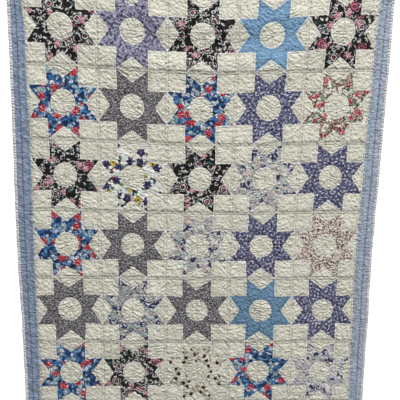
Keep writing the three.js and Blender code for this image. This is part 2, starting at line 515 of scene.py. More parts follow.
def mesh_piece(name, points, faces, materials, material_of=None, maps=None, values=None):
    """A smooth-shaded mesh from arrays: points, triangles, UV maps by corner, and named values that
    each cell (FACE) or each point (POINT) carries."""
    mesh = bpy.data.meshes.new(name)
    mesh.vertices.add(len(points))
    mesh.vertices.foreach_set("co", np.asarray(points, np.float32).ravel())
    mesh.loops.add(faces.size)
    mesh.loops.foreach_set("vertex_index", faces.astype(np.int32).ravel())
    mesh.polygons.add(len(faces))
    mesh.polygons.foreach_set("loop_start", np.arange(0, faces.size, 3, dtype=np.int32))
    for material in materials:
        mesh.materials.append(material)
    if material_of is not None:
        mesh.polygons.foreach_set("material_index", material_of.astype(np.int32))
    mesh.update(calc_edges=True)
    mesh.polygons.foreach_set("use_smooth", np.ones(len(faces), bool))
    for label, places in (maps or {}).items():
        layer = mesh.uv_layers.new(name=label)
        layer.data.foreach_set("uv", np.asarray(places, np.float32).ravel())
    for (label, domain), numbers in (values or {}).items():
        attribute = mesh.attributes.new(label, "FLOAT", domain)
        attribute.data.foreach_set("value", np.asarray(numbers, np.float32))
    return placed(name, mesh)


# Closed quilted shells: a fine face, a coarser back and a rim between them

def places_along(plan, axis, level):
    """Numbers of the places on one straight edge of the plan, in order along it."""
    found = np.flatnonzero(np.abs(plan[:, axis] - level) < 1e-7)
    return found[np.argsort(plan[found, 1 - axis])]


def rim_cells(fine, coarse):
    """Triangles between a run of fine places and a run with every second one of them behind it."""
    first, middle, last = fine[0:-1:2], fine[1::2], fine[2::2]
    near, far = coarse[:-1], coarse[1:]
    return np.concatenate([
        np.stack([near, first, middle], -1),
        np.stack([near, middle, far], -1),
        np.stack([middle, last, far], -1),
    ])


def turned(plan, cells, clockwise):
    """Cells with their corners in the order that turns clockwise, or not, on a plan with v upward."""
    p = plan[cells]
    one, two = p[:, 1] - p[:, 0], p[:, 2] - p[:, 0]
    area = one[:, 0] * two[:, 1] - one[:, 1] * two[:, 0]
    wrong = area > 0 if clockwise else area < 0
    return np.where(wrong[:, None], cells[:, ::-1], cells)


def folded_map(share_along, share_beside, middle_along, is_back, segments, back_share):
    """Bake map: the long strip is cut into segments laid side by side, each with its back beside it."""
    segment = np.clip(np.floor(middle_along * segments), 0, segments - 1)
    width = np.where(is_back, back_share, 1.0)
    column = segment * (1 + back_share) + np.where(is_back, 1.0, 0.0)
    x = column + width * (BAKE_MARGIN + share_beside * (1 - 2 * BAKE_MARGIN))
    y = BAKE_MARGIN + (share_along * segments - segment) * (1 - 2 * BAKE_MARGIN)
    return np.stack([x / (segments * (1 + back_share)), y], -1)


def quilted_shell(name, plan, cells, us, vs, face, back, layout, looks):
    """A closed shell over the plan (u to the right, v down): face(u, v) and back(u, v) give points.

    us and vs are the fine levels along the plan's edges, and the back has every second of them.
    layout names the long axis, the segments of its bake map and the back's share of it. looks
    holds the materials, the material and tone of each face cell, the values at each face place,
    the place on the cloth of each plan place, and how the face cells' prints were cut.
    """
    plan_back = np.stack(np.meshgrid(us[::2], vs[::2]), -1).reshape(-1, 2)
    columns, rows = len(us[::2]), len(vs[::2])
    face_cells = turned(plan, cells, clockwise=True)
    back_cells = turned(plan_back, quad_cells(columns - 1, rows - 1), clockwise=False) + len(plan)
    number = np.arange(len(plan_back)).reshape(rows, columns) + len(plan)
    runs = [
        (places_along(plan, 1, vs[0]), number[0], (0, -1)),
        (places_along(plan, 0, us[-1]), number[:, -1], (1, 0)),
        (places_along(plan, 1, vs[-1])[::-1], number[-1, ::-1], (0, 1)),
        (places_along(plan, 0, us[0])[::-1], number[::-1, 0], (-1, 0)),
    ]
    rims = [rim_cells(fine, coarse) for fine, coarse, outward in runs]
    all_plan = np.concatenate([plan, plan_back])
    all_cells = np.concatenate([face_cells, back_cells, *rims])
    points = np.concatenate([face(plan[:, 0], plan[:, 1]), back(plan_back[:, 0], plan_back[:, 1])])

    # Bake map: rim cells lie round the back, their front corners pushed out past its edge
    long, short = (0, 1) if layout["along"] == "u" else (1, 0)
    span = np.array([us[-1] - us[0], vs[-1] - vs[0]])
    share = ((all_plan - [us[0], vs[0]]) / span)[all_cells]
    push = np.full(2, BAKE_PUSH)
    push[long] /= layout["segments"]
    is_back = np.arange(len(all_cells)) >= len(face_cells)
    start = len(face_cells) + len(back_cells)
    for (fine, coarse, outward), rim in zip(runs, rims):
        in_front = (rim < len(plan))[..., None]
        share[start:start + len(rim)] += in_front * np.array(outward) * push
        start += len(rim)
    middle = np.clip(share[..., long].mean(1), 0, 1)
    bake = folded_map(
        share[..., long], share[..., short], middle[:, None], is_back[:, None],
        layout["segments"], layout["back_share"],
    )

    cloth = looks["cloth"](all_plan[:, 0], all_plan[:, 1])[all_cells]
    if "cut_from" in looks:
        cloth[:len(face_cells)] = looks["cut_from"](cloth[:len(face_cells)])
    behind = len(all_cells) - len(face_cells)
    values = {("tone", "FACE"): np.concatenate([looks["tone"], np.zeros(behind)])}
    for label, value in looks["values"].items():
        values[label, "POINT"] = np.concatenate([value, np.zeros(len(plan_back))])
    # Painted shade along the back's quilting lines.
    if "painted_crease_shade_behind" in looks:
        creased = looks["painted_crease_shade_behind"](plan_back[:, 0], plan_back[:, 1])
        values["crease", "POINT"][len(plan):] = creased
    material_of = np.concatenate([looks["material_of"], np.zeros(behind, int)])
    maps = {"cloth": cloth, "OFBake": bake}
    return mesh_piece(name, points, all_cells, looks["materials"], material_of, maps, values)


# The pieced centre, a row of blocks at a time

def share_of(numbers, seed):
    """A repeatable share from 0 to 1 for each number."""
    numbers = np.asarray(numbers)
    return lattice(numbers, np.full(numbers.shape, seed), 900 + seed)


def block_place(x, row):
    """For places x blocks along a row: the column, the share from its middle, the block's number."""
    column = np.clip(np.floor(x + 0.5), 0, BLOCK_COLUMNS - 1)
    return column, x - column, column + BLOCK_COLUMNS * row


def hand_cut(s, t, block):
    """Each star turned, shifted and sized a little its own way, fading out towards its block's edge."""
    fade = np.clip((1 - 4 * s ** 2) * (1 - 4 * t ** 2), 0, 1)
    turn = 0.05 * (share_of(block, 1) - 0.5) * fade
    size = 1 + 0.05 * (share_of(block, 2) - 0.5) * fade
    right = 0.022 * (share_of(block, 3) - 0.5) * fade
    down = 0.022 * (share_of(block, 4) - 0.5) * fade
    return size * (s - turn * t) + right, size * (t + turn * s) + down


def place_in_row(x, t, row):
    """The place on the cloth, across and drop, of a place in a row of blocks."""
    column, s, block = block_place(x, row)
    cut_s, cut_t = hand_cut(s, t, block)
    drop = EDGE_WIDTH + (row + 0.5 + cut_t) * BLOCK_DROP
    pitch = 2 * down_quilt(PANEL_HALF, drop) / BLOCK_COLUMNS
    return (column + cut_s - (BLOCK_COLUMNS - 1) / 2) * pitch, drop


def row_face(x, t, row):
    """Points of a row's quilted face."""
    across, drop = place_in_row(x, t, row)
    s = block_place(x, row)[1]
    return cloth_points(across, drop, layer_height(block_relief(s, t, across, drop)))


def to_quilting(x, t, row):
    """Distance from a place in a row to the nearest quilting line that also shows on the back."""
    seam = seam_distances(block_place(x, row)[1], t)
    return np.minimum.reduce([
        np.abs(seam["row"] - ROW_LINE),
        np.abs(seam["side"] - ROW_LINE),
        np.abs(seam["corner"] - STAR_LINE),
        np.abs(seam["triangle"] - STAR_LINE),
        np.abs(seam["disc"] - STAR_LINE),
    ])


def back_points(across, drop, sewn):
    """Points of the plain back: cloth puffed between its quilting lines, sewn the distance to one."""
    puff = 2.0 * MM * (1 - np.exp(-(sewn / 0.008) ** 2))
    return cloth_points(across, drop, -layer_height(puff + 0.4 * crumple(across + 3.7, drop + 1.9)))


def row_back(x, t, row):
    """Points of a row's back."""
    return back_points(*place_in_row(x, t, row), to_quilting(x, t, row))


def patch_numbers(kinds, eighths, columns, row):
    """One number for each cut patch: mirrored halves of a corner square or side triangle share one."""
    swapped, flip_s, flip_t = eighths & 1, (eighths >> 1) & 1, (eighths >> 2) & 1
    part = np.select(
        [kinds == PIECES.index(name) for name in ("corner", "triangle", "blade")],
        [flip_s + 2 * flip_t, np.where(swapped == 1, 4 + flip_t, 6 + flip_s), 8 + eighths],
        16 + eighths,
    )
    return part + 24 * (columns + BLOCK_COLUMNS * row)


def pieced_row(row, cloths):
    """A row of star blocks as one closed shell, its cells given to the cloth that each was cut from."""
    columns = np.repeat(np.arange(BLOCK_COLUMNS), len(BLOCK_CELLS))
    plan = np.concatenate([BLOCK_PLAN + [column, 0] for column in range(BLOCK_COLUMNS)])
    cells = np.concatenate([BLOCK_CELLS + column * len(BLOCK_PLAN) for column in range(BLOCK_COLUMNS)])
    plan, cells = merged(plan, cells)
    kinds, eighths = np.tile(BLOCK_KINDS, BLOCK_COLUMNS), np.tile(BLOCK_EIGHTHS, BLOCK_COLUMNS)
    us = np.unique(np.round(plan[places_along(plan, 1, -0.5), 0], 7))
    vs = np.unique(np.round(plan[places_along(plan, 0, -0.5), 1], 7))

    prints = sorted(set(STARS[row]))
    star_material = np.array([1 + prints.index(name) for name in STARS[row]])
    is_blade = kinds == PIECES.index("blade")
    patches = patch_numbers(kinds, eighths, columns, row)
    angle = np.where(is_blade, 2 * np.pi * share_of(patches, 5), 0.3 * (share_of(patches, 5) - 0.5))
    shift = 4.0 * np.stack([share_of(patches, 6), share_of(patches, 7)], -1)

    def cut_from(cloth):
        """Each patch's print, turned and shifted as it was cut."""
        lying = leaning(cloth[..., 0], cloth[..., 1], angle[:, None])
        return np.stack(lying, -1) + shift[:, None, :]

    seam = seam_distances(block_place(plan[:, 0], row)[1], plan[:, 1])
    star_edge = np.minimum.reduce([seam["corner"], seam["triangle"], seam["disc"]])
    across, drop = place_in_row(plan[:, 0], plan[:, 1], row)
    # Painted shade: darker in the crumple's valleys, at the seams and along the quilting lines.
    crease = deepest(
        (0.8, ridges(across, drop), 0, 0.17),
        (1.2, seam["row"], ROW_LINE, 0.0021),
        (0.7, seam["row"], 0, 0.0015),
        (0.7, seam["side"], ROW_LINE, 0.0021),
        (0.45, star_edge, STAR_LINE, 0.0026),
        (0.6, seam["wedge"], 0, 0.0019),
        (0.6, seam["blade"], 0, 0.0020),
    )
    looks = {
        "materials": [cloths["muslin"], *(cloths[name] for name in prints)],
        "material_of": np.where(is_blade, star_material[columns], 0),
        "tone": 2 * share_of(patches, 8) - 1,
        # Painted highlight within 6 mm of the star's seams.
        "values": {"crease": crease, "edging": np.clip(1 - star_edge / 0.006, 0, 1)},
        # Painted shade along the quilting lines of the back.
        "painted_crease_shade_behind": lambda x, t: 0.3 * ditch(to_quilting(x, t, row), 0, 0.0045),
        "cloth": lambda x, t: np.stack(place_in_row(x, t, row), -1),
        "cut_from": cut_from,
    }
    return quilted_shell(
        f"star_row_{row + 1}", plan, cells, us, vs,
        lambda x, t: row_face(x, t, row), lambda x, t: row_back(x, t, row),
        {"along": "u", "segments": 2, "back_share": 0.25}, looks,
    )


# The border and the binding

def grid_plan(us, vs):
    """Places and cells of a plain grid with the given levels."""
    plan = np.stack(np.meshgrid(us, vs), -1).reshape(-1, 2)
    return plan, quad_cells(len(us) - 1, len(vs) - 1)


def strip_looks(cloth, cells, tone, values, place):
    """Looks of a strip that is cut whole from one cloth."""
    return {
        "materials": [cloth],
        "material_of": np.zeros(len(cells), int),
        "tone": np.full(len(cells), tone),
        "values": values,
        "cloth": lambda u, v: np.stack(place(u, v), -1),
    }


def border_relief(outward, run, across, drop):
    """A border strip: two quilting lines along it and short creases across it, 12 mm apart.

    outward is the distance from the pieced centre, and run the distance along the strip.
    """
    to_binding = BORDER_WIDTH - outward
    puff = 1.2 * (1 - np.exp(-np.maximum(np.minimum(outward, to_binding), 0) / 0.008))
    lines = 1.1 * ditch(outward, NEAR_LINE, 0.0022) + 1.4 * ditch(outward, FAR_LINE, 0.0026)
    notches = 0.8 * ditch(outward, 0, 0.0018) + 1.0 * ditch(to_binding, 0, 0.0024)
    turn = run / PUCKER_PITCH + 0.5 * noise(run / 0.11, outward / 0.05, 51)
    regular = np.cos(2 * np.pi * turn) * (0.6 + 0.5 * noise(run / 0.05, outward / 0.03, 52))
    drawn = np.exp(-(to_binding / 0.020) ** 2) + 0.8 * np.exp(-(outward / 0.010) ** 2)
    loose = noise(run / 0.0080, outward / 0.030, 53)
    sewn = puff - lines - notches + 0.55 * drawn * regular + 1.3 * loose
    return MM * sewn + (1 - BENT_SHARE) * crumple(across, drop)


def border_strip(name, us, vs, outward_at, place, along, tone, cloths):
    """A border strip: outward_at(u, v) is the distance from the pieced centre, and place(u, v) gives
    across and drop. The tone runs from -1, painted darker, to 1, painted paler: painted shade on the
    left side border and painted light on the right."""
    plan, cells = grid_plan(us, vs)

    def face(u, v):
        across, drop = place(u, v)
        relief = border_relief(outward_at(u, v), drop if along == "v" else across, across, drop)
        return cloth_points(across, drop, layer_height(relief))

    def behind(u, v):
        """Distance from a place to a quilting line or to the pieced centre."""
        outward = outward_at(u, v)
        return np.minimum(np.abs(outward - FAR_LINE), outward)

    def back(u, v):
        return back_points(*place(u, v), behind(u, v))

    outward = outward_at(plan[:, 0], plan[:, 1])
    across, drop = place(plan[:, 0], plan[:, 1])
    # Painted shade: darker in the crumple's valleys and along the two quilting lines.
    crease = deepest(
        (0.4, ridges(across, drop), 0, 0.15),
        (0.7, outward, NEAR_LINE, 0.0022),
        (1.5, outward, FAR_LINE, 0.0026),
    )
    looks = strip_looks(cloths["chambray"], cells, tone, {"crease": crease}, place)
    # Painted shade along the back's quilting line.
    looks["painted_crease_shade_behind"] = lambda u, v: 0.3 * ditch(behind(u, v), 0, 0.0045)
    layout = {"along": along, "segments": 4, "back_share": 0.5}
    return quilted_shell(name, plan, cells, us, vs, face, back, layout, looks)


def side_border(side, cloths):
    """The border strip down one side, beside the pieced centre; |u| is the share of its width."""
    def place(u, v):
        inner = down_quilt(PANEL_HALF, v)
        return side * (inner + np.abs(u) * (INNER_HALF - inner)), v

    us = np.linspace(min(side, 0), max(side, 0), BORDER_CELLS["across"] + 1)
    vs = np.linspace(EDGE_WIDTH, EDGE_WIDTH + PANEL_DROP, BORDER_CELLS["side"] + 1)
    name = "right_border" if side > 0 else "left_border"
    # The side is the tone: painted shade on the left border, painted light on the right.
    return border_strip(name, us, vs, lambda u, v: np.abs(u) * BORDER_WIDTH, place, "v", side, cloths)


def end_border(side, cloths):
    """The border strip along the top (side -1) or the bottom (1), from binding to binding."""
    us = np.linspace(-INNER_HALF, INNER_HALF, BORDER_CELLS["end"] + 1)
    levels = np.linspace(BINDING_WIDTH, EDGE_WIDTH, BORDER_CELLS["across"] + 1)
    vs = levels if side < 0 else QUILT_DROP - levels[::-1]

    def outward_at(u, v):
        return EDGE_WIDTH - v if side < 0 else v - (QUILT_DROP - EDGE_WIDTH)

    name = "top_border" if side < 0 else "bottom_border"
    return border_strip(name, us, vs, outward_at, lambda u, v: (u, v), "u", 0, cloths)


def binding_pinch(run):
    """1 where a stitch draws the binding in, 0 in the puffs between: a bell curve of a sine."""
    phase = run / PUCKER_PITCH + 0.22 * noise(run / 0.09, run * 0, 61)
    return np.exp(-(np.sin(np.pi * phase) / 0.42) ** 2)


def binding_strip(name, us, vs, inward_at, place, outward, along, cloths):
    """A binding rolled over the edge: a half-round section, thinner where each stitch draws it in."""
    plan, cells = grid_plan(us, vs)

    def slanted(u, v):
        """The distance along the strip, sheared so that the pinches lean."""
        across, drop = place(u, v)
        return (drop if along == "v" else across) + 0.0025 * (inward_at(u, v) / BINDING_WIDTH - 0.5)

    def rolled(u, v, towards):
        across, drop = place(u, v)
        inward = inward_at(u, v) / BINDING_WIDTH
        run = slanted(u, v)
        pinch = binding_pinch(run)
        crest = np.sqrt(np.clip(1 - ((1 - inward) / 1.02) ** 2.6, 0, 1)) * (1 - 0.28 * inward ** 3)
        plump = 1 + 0.18 * noise(run / 0.02, inward, 62)
        height = BINDING_THICKNESS / 2 * crest * plump * (1 - 0.55 * pinch)
        drawn_in = MM * (1 - inward) * (1.5 * pinch - 0.7 * (1 - pinch))
        points = cloth_points(across, drop, towards * np.maximum(height, 0.25 * MM))
        points[..., 0] -= outward[0] * drawn_in
        points[..., 2] -= outward[1] * drawn_in
        return points

    # The thread over each pinch, also painted shade in the pinch, as values of the mesh.
    threads_and_pinch_shades = {"bar": binding_pinch(slanted(plan[:, 0], plan[:, 1]))}
    looks = strip_looks(cloths["binding_cloth"], cells, 0, threads_and_pinch_shades, place)
    layout = {"along": along, "segments": 8, "back_share": 0.6}
    return quilted_shell(
        name, plan, cells, us, vs,
        lambda u, v: rolled(u, v, 1.0), lambda u, v: rolled(u, v, -1.0), layout, looks,
    )


def side_binding(side, cloths):
    """The binding down one side, over the quilt's whole drop; |u| is 1 at the outer edge."""
    us = 1 - BINDING_SHARES[::-1] if side > 0 else BINDING_SHARES - 1
    vs = np.linspace(0, QUILT_DROP, BINDING_CELLS["side"] + 1)

    def inward_at(u, v):
        return (1 - np.abs(u)) * BINDING_WIDTH

    def place(u, v):
        return side * (OUTER_HALF - inward_at(u, v)), v

    name = "right_binding" if side > 0 else "left_binding"
    return binding_strip(name, us, vs, inward_at, place, (side, 0), "v", cloths)


def end_binding(side, cloths):
    """The binding along the top (side -1) or the bottom (1), between the side bindings."""
    us = np.linspace(-INNER_HALF, INNER_HALF, BINDING_CELLS["end"] + 1)
    levels = BINDING_WIDTH * BINDING_SHARES
    vs = levels if side < 0 else QUILT_DROP - levels[::-1]

    def inward_at(u, v):
        return v if side < 0 else QUILT_DROP - v

    name = "top_binding" if side < 0 else "bottom_binding"
    return binding_strip(name, us, vs, inward_at, lambda u, v: (u, v), (0, -side), "u", cloths)


# Cloth materials

class Number:
    """A number in a material's node tree: arithmetic on it adds Math nodes."""

    def __init__(self, dye, socket):
        self.dye = dye
        self.socket = socket

    def __add__(self, other):
        return self.dye.math("ADD", self, other)

    def __radd__(self, other):
        return self.dye.math("ADD", other, self)

    def __sub__(self, other):
        return self.dye.math("SUBTRACT", self, other)

    def __rsub__(self, other):
        return self.dye.math("SUBTRACT", other, self)

    def __mul__(self, other):
        return self.dye.math("MULTIPLY", self, other)

    def __rmul__(self, other):
        return self.dye.math("MULTIPLY", other, self)

    def __truediv__(self, other):
        return self.dye.math("DIVIDE", self, other)

    def __lt__(self, other):
        return self.dye.math("LESS_THAN", self, other)


class Dye:
    """A cloth material in the making: one Principled surface and the nodes that feed it."""

    def __init__(self, name):
        self.material = bpy.data.materials.new(name)
        self.material.use_nodes = True
        self.nodes = self.material.node_tree.nodes
        self.links = self.material.node_tree.links
        self.nodes.clear()
        self.surface = self.node("ShaderNodeBsdfPrincipled", {}, {
            "Roughness": 0.88,
            "Sheen Weight": 0.2,
            "Sheen Roughness": 0.5,
            "Specular IOR Level": 0.25,
        })
        self.node("ShaderNodeOutputMaterial", {}, {"Surface": self.surface.outputs["BSDF"]})
        self.cloth = self.node("ShaderNodeUVMap", {"uv_map": "cloth"}).outputs["UV"]

    def node(self, kind, settings=None, sockets=None):
        """Adds a node: its settings first, then the values or links of its sockets."""
        made = self.nodes.new(kind)
        for key, value in (settings or {}).items():
            setattr(made, key, value)
        for key, value in (sockets or {}).items():
            value = value.socket if isinstance(value, Number) else value
            if isinstance(value, bpy.types.NodeSocket):
                self.links.new(value, made.inputs[key])
            else:
                made.inputs[key].default_value = value
        return made

    def math(self, operation, one, two=0.0, three=0.0, clamp=False):
        settings = {"operation": operation, "use_clamp": clamp}
        made = self.node("ShaderNodeMath", settings, {0: one, 1: two, 2: three})
        return Number(self, made.outputs[0])

    def vector(self, operation, one, two=(0, 0, 0)):
        return self.node("ShaderNodeVectorMath", {"operation": operation}, {0: one, 1: two}).outputs[0]

    def scaled(self, vector, by):
        sockets = {0: vector, "Scale": by}
        return self.node("ShaderNodeVectorMath", {"operation": "SCALE"}, sockets).outputs[0]

    def above(self, number, edge=0.0, softness=EDGE_SOFTNESS):
        """0 below the edge and 1 above it, over a soft step."""
        return self.math("MULTIPLY_ADD", number, 1 / softness, 0.5 - edge / softness, clamp=True)

    def below(self, number, edge, softness=EDGE_SOFTNESS):
        """1 below the edge and 0 above it, over a soft step."""
        return self.math("MULTIPLY_ADD", number, -1 / softness, 0.5 + edge / softness, clamp=True)

    def mix(self, share, one, two, blend="MIX"):
        """Colour one turning to colour two by the share. Three numbers are a colour's screen values."""
        settings = {"data_type": "RGBA", "blend_type": blend}
        sockets = {0: share, 6: linear(one), 7: linear(two)}
        return self.node("ShaderNodeMix", settings, sockets).outputs[2]

    def ground(self, share, one, two):
        """The cloth's ground, from colour one to colour two by the share."""
        self.colour = self.mix(share, one, two)

    def lay(self, share, paint):
        """Lays a colour over what is there by the share."""
        self.colour = self.mix(share, self.colour, paint)

    def strew(self, motif, spread, shape, paint):
        """Lays a colour on motifs of a shape, scattered as spread says."""
        self.lay(motif(self.scatter(*spread), *shape), paint)

    def value(self, label):
        """A value that the mesh carries, such as a patch's tone."""
        settings = {"attribute_type": "GEOMETRY", "attribute_name": label}
        return Number(self, self.node("ShaderNodeAttribute", settings).outputs["Fac"])

    def parts(self, vector):
        """The x and y of a vector."""
        made = self.node("ShaderNodeSeparateXYZ", {}, {0: vector})
        return Number(self, made.outputs[0]), Number(self, made.outputs[1])

    def clouds(self, size, detail=2.0, seed=0.0, stretch=(1, 1, 1)):
        """Smooth noise from 0 to 1 with patches of about the given size in metres."""
        place = self.vector("MULTIPLY", self.cloth, stretch)
        place = self.vector("ADD", place, (seed * 1.37, seed * 2.11, 0))
        sockets = {"Vector": place, "Scale": 1 / size, "Detail": detail, "Roughness": 0.5}
        made = self.node("ShaderNodeTexNoise", {"noise_dimensions": "2D"}, sockets)
        return Number(self, made.outputs["Fac"])

    def scatter(self, spacing, seed, randomness=0.7):
        """Motif centres a spacing apart. For the nearest one: the place from it in metres, its
        distance and angle, and three random shares of its own."""
        place = self.vector("ADD", self.scaled(self.cloth, 1 / spacing), (seed * 7.3, seed * 3.9, 0))
        sockets = {"Vector": self.cloth, "Scale": WANDER_SCALE, "Detail": 1.0}
        wander = self.node("ShaderNodeTexNoise", {"noise_dimensions": "2D"}, sockets).outputs["Color"]
        wander = self.vector("SUBTRACT", wander, (0.5, 0.5, 0.5))
        place = self.vector("ADD", place, self.scaled(wander, UNEVEN_PRINT / spacing))
        settings = {"voronoi_dimensions": "2D", "feature": "F1"}
        sockets = {"Vector": place, "Scale": 1.0, "Randomness": randomness}
        cells = self.node("ShaderNodeTexVoronoi", settings, sockets)
        from_centre = self.vector("SUBTRACT", place, cells.outputs["Position"])
        x, y = self.parts(self.scaled(from_centre, spacing))
        own = self.node("ShaderNodeSeparateColor", {}, {0: cells.outputs["Color"]})
        return {
            "x": x,
            "y": y,
            "distance": Number(self, cells.outputs["Distance"]) * spacing,
            "angle": self.math("ARCTAN2", y, x),
            "own": [Number(self, socket) for socket in own.outputs],
        }

    def some(self, drawn, motif, share):
        """What is drawn, at a share of the motif's centres."""
        return drawn if share == 1.0 else drawn * (motif["own"][2] < share)

    def flower(self, motif, radius, petals, depth=0.25, share=1.0):
        """A flower head: its radius follows the cosine of the petals' angle."""
        lobes = self.math("COSINE", motif["angle"] * petals + motif["own"][0] * FULL_TURN)
        reach = lobes * (radius * depth) + radius * (1 - depth)
        return self.some(self.above(reach - motif["distance"]), motif, share)

    def curl(self, motif, radius, half, share=1.0):
        """An open ring, its gap turned its own way."""
        ring = self.below(self.math("ABSOLUTE", motif["distance"] - radius), half)
        turned_way = self.math("COSINE", motif["angle"] + motif["own"][1] * FULL_TURN)
        return self.some(ring * self.below(turned_way, 0.6, 0.2), motif, share)

    def leaf(self, motif, length, width, share=1.0):
        """A leaf, turned its own way: a parabola on either side of its rib."""
        turn = motif["own"][1] * FULL_TURN
        cosine, sine = self.math("COSINE", turn), self.math("SINE", turn)
        along = (motif["x"] * cosine + motif["y"] * sine) / length
        beside = self.math("ABSOLUTE", motif["y"] * cosine - motif["x"] * sine)
        return self.some(self.above((1 - along * along) * width - beside), motif, share)

    def lines(self, size, width, seed):
        """Thin wandering lines, where smooth noise passes through its middle value."""
        return self.below(self.math("ABSOLUTE", self.clouds(size, 1.0, seed) - 0.5), width, width)

    def patches(self, size, cover, seed, softness=0.04):
        """Irregular patches of about a size in metres that cover about the given share."""
        return self.above(self.clouds(size, 1.0, seed), 0.5 + (0.5 - cover) * 0.34, softness)

    def sewn(self, wrinkle=1.0, crease=0.4, edging=0.0):
        """The finished cloth: patch tone and the side borders' painted light, wear, painted shade along
        folds, creases, seams and quilting lines, a painted highlight along seam edges, wrinkles and
        weave.
        """
        wrinkles = self.clouds(0.0095, 1.5, seed=5.0)
        folds = self.math("ABSOLUTE", self.clouds(0.021, 1.0, seed=7.0) - 0.5)
        # Patch tone, which on the side borders is painted shade on the left and painted light on the
        # right, and random wear.
        shade = 1 + self.value("tone") * 0.05 + (self.clouds(0.05, 3.0, seed=3.1) - 0.5) * 0.16
        # Painted shade: the colour is darker along the valleys of the fold noise, which the bump below
        # also sinks.
        shade = shade * (1 - self.below(folds, 0.012, 0.024) * 0.22)
        # Painted shade in the creases, seam ditches and quilting lines that the mesh marks.
        shade = shade * (1 - self.value("crease") * crease)
        grey = self.node("ShaderNodeCombineColor", {}, {0: shade, 1: shade, 2: shade}).outputs[0]
        self.colour = self.mix(1.0, self.colour, grey, "MULTIPLY")
        # Painted highlight: a pale line along the star's seams.
        if edging:
            self.lay(self.above(self.value("edging"), 0.55, 0.5) * edging, (242, 240, 238))
        x, y = self.parts(self.scaled(self.cloth, 2 * math.pi / THREAD_PITCH))
        threads = self.math("SINE", x) * self.math("SINE", y)
        height = wrinkles * (WRINKLE_DEPTH * wrinkle) + threads * THREAD_DEPTH
        height = height + self.math("MINIMUM", folds * 8.0, 1.0) * FOLD_DEPTH
        bump = self.node("ShaderNodeBump", {}, {"Strength": 1.0, "Distance": 1.0, "Height": height})
        self.links.new(self.colour, self.surface.inputs["Base Color"])
        self.links.new(bump.outputs["Normal"], self.surface.inputs["Normal"])
        return self.material


def linear(colour):
    """A colour's three screen values, 0 to 255, in the linear light that materials use. Anything else
    stays as it is."""
    if not isinstance(colour, tuple) or len(colour) != 3:
        return colour
    shares = [channel / 255 for channel in colour]
    return (*(s / 12.92 if s <= 0.04045 else ((s + 0.055) / 1.055) ** 2.4 for s in shares), 1.0)


def muslin(dye):
    """Unbleached cotton, here and there greener or pinker."""
    dye.ground(dye.clouds(0.16, 2.0, 1.0), (229, 227, 208), (233, 230, 217))
    spots = dye.clouds(0.028, 3.0, 2.0)
    dye.lay(dye.above(spots, 0.62, 0.2) * 0.5, (216, 220, 196))
    dye.lay(dye.below(spots, 0.36, 0.16) * 0.45, (238, 228, 220))
    return dye.sewn(crease=0.5, edging=0.5)


def black_floral(dye):
    """Black ground with pale curls, ringed medallions, rose daisies and a few teal leaves."""
    dye.ground(dye.patches(0.02, 0.3, 8.0), (10, 10, 11), (34, 33, 36))
    dye.strew(dye.leaf, (0.036, 2), (0.014, 0.0055, 0.3), (70, 98, 92))
    dye.strew(dye.leaf, (0.024, 5), (0.010, 0.0034, 0.55), (214, 211, 206))
    dye.strew(dye.curl, (0.025, 9), (0.0070, 0.0019, 0.75), (214, 211, 206))
    disc = dye.scatter(0.060, 1)
    rings = dye.above(dye.math("SINE", disc["distance"] * 620 + 0.8), 0.25, 0.6)
    face = dye.mix(rings, (24, 22, 25), (218, 213, 212))
    face = dye.mix((disc["own"][0] < 0.28) * rings, face, (200, 92, 122))
    face = dye.mix(dye.below(disc["distance"], 0.0046, 0.001), face, (186, 70, 104))
    dye.lay(dye.flower(disc, 0.0225, 13, 0.05, 0.55), face)
    daisy = dye.scatter(0.052, 3)
    stripes = dye.math("COSINE", daisy["angle"] * 7.0 + daisy["own"][0] * FULL_TURN)
    face = dye.mix(dye.above(stripes, 0.1, 0.5), (232, 214, 214), (172, 46, 78))
    face = dye.mix(dye.above(daisy["distance"], 0.0150, 0.001), face, (232, 214, 214))
    dye.lay(dye.flower(daisy, 0.0185, 7, 0.24, 0.36), face)
    return dye.sewn(crease=0.3)


def lavender_mottle(dye):
    """Lavender streaked light and dark, with pale flecks."""
    streaks = dye.clouds(0.012, 3.0, seed=1.0, stretch=(1, 0.6, 1))
    dye.ground(dye.above(streaks, 0.47, 0.20), (102, 99, 125), (166, 165, 188))
    dye.strew(dye.flower, (0.015, 2), (0.0040, 5, 0.3, 0.6), (204, 202, 218))
    dye.lay(dye.patches(0.012, 0.22, 4.0, 0.06), (64, 60, 84))
    return dye.sewn(crease=0.3)


def plain_blue(dye, deep, pale, worn):
    """Plain blue, its weft thicker in places, faded in patches."""
    slub = dye.clouds(0.004, 2.0, seed=1.0, stretch=(1, 0.12, 1))
    faded = dye.above(dye.clouds(0.05, 2.0, seed=2.0), 0.5, 0.4)
    dye.ground(faded * 0.5, dye.mix(slub, deep, pale), worn)
    return dye.sewn(wrinkle=2.0, crease=0.75)


